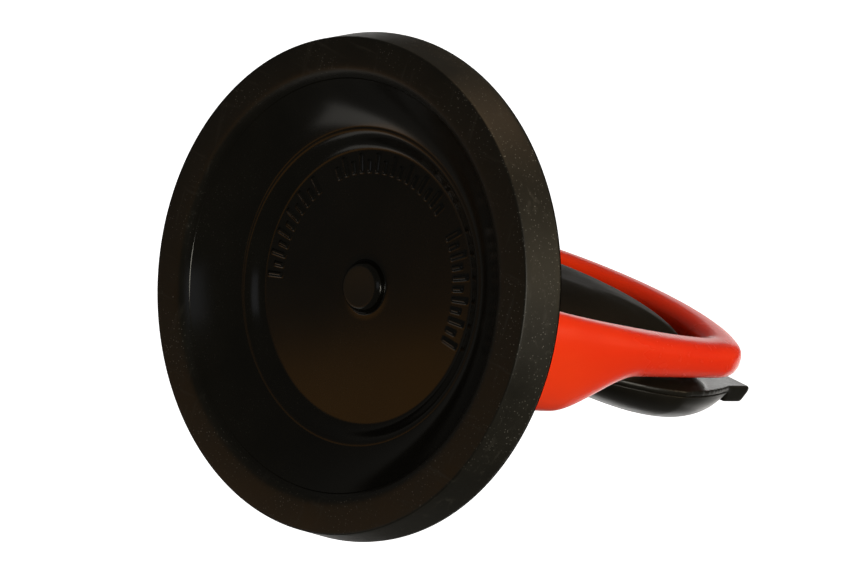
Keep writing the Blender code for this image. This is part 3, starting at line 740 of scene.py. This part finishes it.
def red_plastic():
    """Glossy red-orange moulded plastic with a faint flow pattern and hairline scratches."""
    n = Nodes("handle_red_look", (0.80, 0.035, 0.003), 0.25)
    n.fixed(Specular_IOR_Level=0.30, Subsurface_Weight=0.06,
            Subsurface_Radius=(0.004, 0.0012, 0.0006), Subsurface_Scale=1.0)
    flow = n.noise(38, 4, 0.5, (1, 1, 0.45))
    hair = n.remap(n.noise(600, 3, 0.6, (0.08, 1.0, 1.0)), 0.64, 0.74, 0.0, 1.0)
    base = n.mix(n.remap(flow, 0.3, 0.7, 0.0, 1.0), (0.80, 0.020, 0.0004), (0.90, 0.040, 0.0008))
    n.colour(n.mix(n.math("MULTIPLY", n.specks(1400, 0.09), 0.18), base, (0.95, 0.20, 0.10)))
    n.roughness(n.math("ADD", n.remap(flow, 0.3, 0.7, 0.24, 0.32), n.math("MULTIPLY", hair, 0.12)))
    peel = n.math("ADD", n.math("MULTIPLY", n.noise(260, 2, 0.4), 0.8),
                  n.math("MULTIPLY", n.noise(1900, 2, 0.5), 0.2))
    n.bump(n.math("ADD", peel, n.math("MULTIPLY", hair, -0.4)), 0.25, 0.05 * MM)
    return n.material


def black_plastic(name, specular, low, high, grain):
    """Black plastic with a fine moulded grain and a little dust."""
    n = Nodes(name, (0.008, 0.007, 0.005), low)
    n.fixed(Specular_IOR_Level=specular)
    cloud = n.noise(60, 5, 0.6)
    dust = n.math("MULTIPLY", n.specks(1100, 0.13), n.remap(cloud, 0.5, 0.66, 0.0, 1.0))
    base = n.mix(n.remap(cloud, 0.35, 0.7, 0.0, 1.0),
                 (0.0045, 0.0040, 0.0026), (0.0080, 0.0070, 0.0048))
    n.colour(n.mix(n.math("MULTIPLY", dust, 0.4), base, (0.12, 0.11, 0.09)))
    n.roughness(n.remap(n.noise(210, 4, 0.6), 0.3, 0.7, low, high))
    n.bump(n.math("ADD", n.math("MULTIPLY", n.noise(2400, 3, 0.6), grain), n.noise(300, 2, 0.4)),
           0.22, 0.04 * MM)
    return n.material


def metal(name, colour, roughness, turn_scale):
    """Zinc-plated steel with turning rings, a mottled plating and worn spots."""
    n = Nodes(name, colour, roughness, metallic=1.0)
    rings = n.noise(turn_scale, 2, 0.5, (0.05, 1.0, 1.0))
    spangle = n.noise(240, 3, 0.6)
    dark = tuple(c * 0.72 for c in colour)
    warm = (colour[0] * 1.02, colour[1] * 0.99, colour[2] * 0.93)
    n.colour(n.mix(n.remap(spangle, 0.3, 0.7, 0.0, 1.0), dark, warm))
    n.roughness(n.math("ADD", n.remap(rings, 0.3, 0.7, roughness - 0.06, roughness + 0.10),
                       n.remap(spangle, 0.45, 0.7, 0.0, 0.08)))
    n.bump(rings, 0.3, 0.03 * MM)
    return n.material


def nylon():
    n = Nodes("nylon_look", (0.72, 0.70, 0.64), 0.42)
    n.fixed(Subsurface_Weight=0.2, Subsurface_Radius=(0.003, 0.0025, 0.002), Subsurface_Scale=1.0)
    cloud = n.noise(180, 4, 0.6)
    n.colour(n.mix(n.remap(cloud, 0.3, 0.7, 0.0, 1.0), (0.66, 0.64, 0.57), (0.78, 0.76, 0.70)))
    n.roughness(n.remap(cloud, 0.3, 0.7, 0.36, 0.5))
    n.bump(n.noise(1500, 2, 0.5), 0.2, 0.03 * MM)
    return n.material


def dress(obj, mat):
    obj.data.materials.clear()
    obj.data.materials.append(mat)


# ---------------------------------------------------------------- assemble

rubber_look = rubber()
red_look = red_plastic()
black_look = black_plastic("lever_black_look", 0.20, 0.28, 0.35, 0.5)
# The crown's copy of the black plastic: a rougher grain, and a weaker reflection that is painted
# shade on the crown under the arch.
crown_shade_look = black_plastic("crown_black_shade_look", 0.09, 0.52, 0.60, 1.0)
# The bare deck's copy of the black plastic: a much stronger reflection, a painted highlight of the
# backdrop on the deck.
deck_highlight_look = black_plastic("deck_black_highlight_look", 0.85, 0.20, 0.27, 0.3)
steel_look = metal("steel_look", (0.60, 0.60, 0.61), 0.26, 900)
fastener_look = metal("fastener_look", (0.56, 0.56, 0.55), 0.32, 1500)
nylon_look = nylon()

PIECES = (
    (make_pad_rim(), rubber_look, "pad_rubber", "housing", "suction_pad"),
    (make_pad_dish(), rubber_look, "pad_rubber", None, "suction_pad"),
    (make_handle(), red_look, "handle_red", "housing", "handle_body"),
    (make_lever(), black_look, "lever_black", "lever", "lever_body"),
    (make_cover(), black_look, "lever_black", "lever", "grip_cover"),
)
for piece, look, slot, body, node in PIECES:
    dress(piece, look)
    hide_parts(node)
    if body:
        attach(piece, body)
    else:
        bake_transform(piece)

lever = PIECES[3][0]
lever.data.materials.append(crown_shade_look)
lever.data.materials.append(deck_highlight_look)
# Crown faces take the copy with painted shade.
for face in lever.data.polygons:
    if face.center.z > CROWN_FOOT and face.center.y < SHOULDER_Y - 0.2 * MM:
        face.material_index = 1
    # Bare deck faces before the lip take the copy with the painted highlight.
    elif face.center.z > LIP_DECK_Z and face.normal.y < -0.9:
        face.material_index = 2

NODE_LOOKS = {"stud_guide_bush": nylon_look}
for node in ("wear_plate_screw_1", "wear_plate_screw_2", "wear_plate_screw_3",
             "wear_plate_screw_4", "cover_screw_1", "cover_screw_2", "cover_screw_3",
             "cover_screw_4", "pin_clip_left", "pin_clip_right", "pin_washer_left",
             "pin_washer_right", "stud_washer", "stud_nut"):
    NODE_LOOKS[node] = fastener_look
for node in ("core_plate", "pull_stud", "cam_pin", "wear_plate"):
    NODE_LOOKS[node] = steel_look
for node, look in NODE_LOOKS.items():
    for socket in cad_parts[node].material_slots:
        socket.material = look


# ---------------------------------------------------------------- camera

RIGHT = Vector((0.70386, -0.28857, 0.64909))
UP = Vector((-0.35280, -0.93512, -0.03316))
BACK = Vector((0.61654, -0.20566, -0.75999))
CAMERA_PLACE = Vector((0.41604, -0.14034, -0.47979))

lens = bpy.data.cameras.new("camera")
lens.lens = 118.59
lens.sensor_width = 36
lens.clip_start = 0.01
camera = bpy.data.objects.new("camera", lens)
bpy.context.scene.collection.objects.link(camera)
turn = Matrix((RIGHT, UP, BACK)).transposed().to_4x4()
camera.matrix_world = Matrix.Translation(CAMERA_PLACE) @ turn
bpy.context.scene.camera = camera


# ---------------------------------------------------------------- stage and light

def show_to_camera_only(obj):
    for kind in ("glossy", "diffuse", "transmission", "shadow"):
        setattr(obj, "visible_" + kind, False)


def stage_plane(name, middle, facing, size, mat):
    half = size / 2
    corners = [(-half, -half, 0), (half, -half, 0), (half, half, 0), (-half, half, 0)]
    mesh = bpy.data.meshes.new(name)
    mesh.from_pydata(corners, [], [(0, 1, 2, 3)])
    obj = bpy.data.objects.new(name, mesh)
    bpy.context.scene.collection.objects.link(obj)
    obj.matrix_world = Matrix.Translation(middle) @ (
        Vector(facing).to_track_quat("Z", "Y").to_matrix().to_4x4())
    mesh.materials.append(mat)
    return obj


def plain(name, colour, glow=0.0):
    mat = bpy.data.materials.new(name)
    mat.use_nodes = True
    shader = mat.node_tree.nodes["Principled BSDF"]
    shader.inputs["Base Color"].default_value = (*colour, 1.0)
    shader.inputs["Roughness"].default_value = 0.9
    shader.inputs["Emission Color"].default_value = (*colour, 1)
    shader.inputs["Emission Strength"].default_value = glow
    return mat


def area_light(name, toward, distance, size, power, colour=(1, 1, 1)):
    """A softbox `distance` away from the object along `toward`, given in camera axes."""
    direction = (RIGHT * toward[0] + UP * toward[1] + BACK * toward[2]).normalized()
    data = bpy.data.lights.new(name, "AREA")
    data.shape = "RECTANGLE"
    data.size, data.size_y = size
    data.energy = power
    data.color = colour
    obj = bpy.data.objects.new(name, data)
    bpy.context.scene.collection.objects.link(obj)
    obj.visible_camera = False
    obj.matrix_world = Matrix.Translation(MIDDLE + direction * distance) @ (
        direction.to_track_quat("Z", "Y").to_matrix().to_4x4())


MIDDLE = Vector((0, 0, 0.055))
floor = stage_plane("floor", (0, 0, -1.3), (0, 0, 1), 7.0,
                    plain("floor_paint", (0.90, 0.90, 0.89), 0.9))
show_to_camera_only(floor)
card = stage_plane("backdrop_card", MIDDLE - BACK * 1.6, BACK, 1.5,
                   plain("card_paper", (1.0, 1.0, 1.0), 1.0))
card.visible_camera = False
bpy.ops.mesh.primitive_uv_sphere_add(segments=64, ring_count=32, radius=3.4)
backdrop = bpy.context.object
backdrop.name = "backdrop"
backdrop.data.materials.append(plain("backdrop_paper", (1.0, 1.0, 1.0), 1.05))
show_to_camera_only(backdrop)
bpy.context.scene.view_settings.view_transform = "Standard"

area_light("key", (0.62, -0.10, 0.78), 1.0, (0.40, 0.40), 6.6, (1.0, 0.95, 0.82))
area_light("arch_fill", (0.95, 0.10, 0.10), 0.9, (0.3, 0.3), 1.2, (1.0, 0.80, 0.50))
area_light("top_fill", (0.45, 0.85, 0.10), 0.9, (0.3, 0.3), 1.8, (1.0, 0.66, 0.38))
area_light("rear_fill", (0.50, -0.25, -0.80), 1.2, (0.6, 0.6), 1.4, (1.0, 0.97, 0.92))
area_light("wall_glow", (-0.87, -0.45, 0.02), 0.8, (0.40, 0.22), 0.30, (1.0, 0.96, 0.88))
area_light("cool_fill", (0.02, 0.12, 1.0), 1.2, (0.40, 0.40), 0.30, (0.86, 0.90, 1.0))
area_light("warm_card", (-0.975, -0.155, 0.16), 0.5, (0.15, 0.32), 0.10, (1.0, 0.42, 0.04))

world = bpy.data.worlds.new("studio")
bpy.context.scene.world = world
world.use_nodes = True
world.node_tree.nodes["Background"].inputs["Color"].default_value = (1.0, 0.96, 0.86, 1)
world.node_tree.nodes["Background"].inputs["Strength"].default_value = 0.12
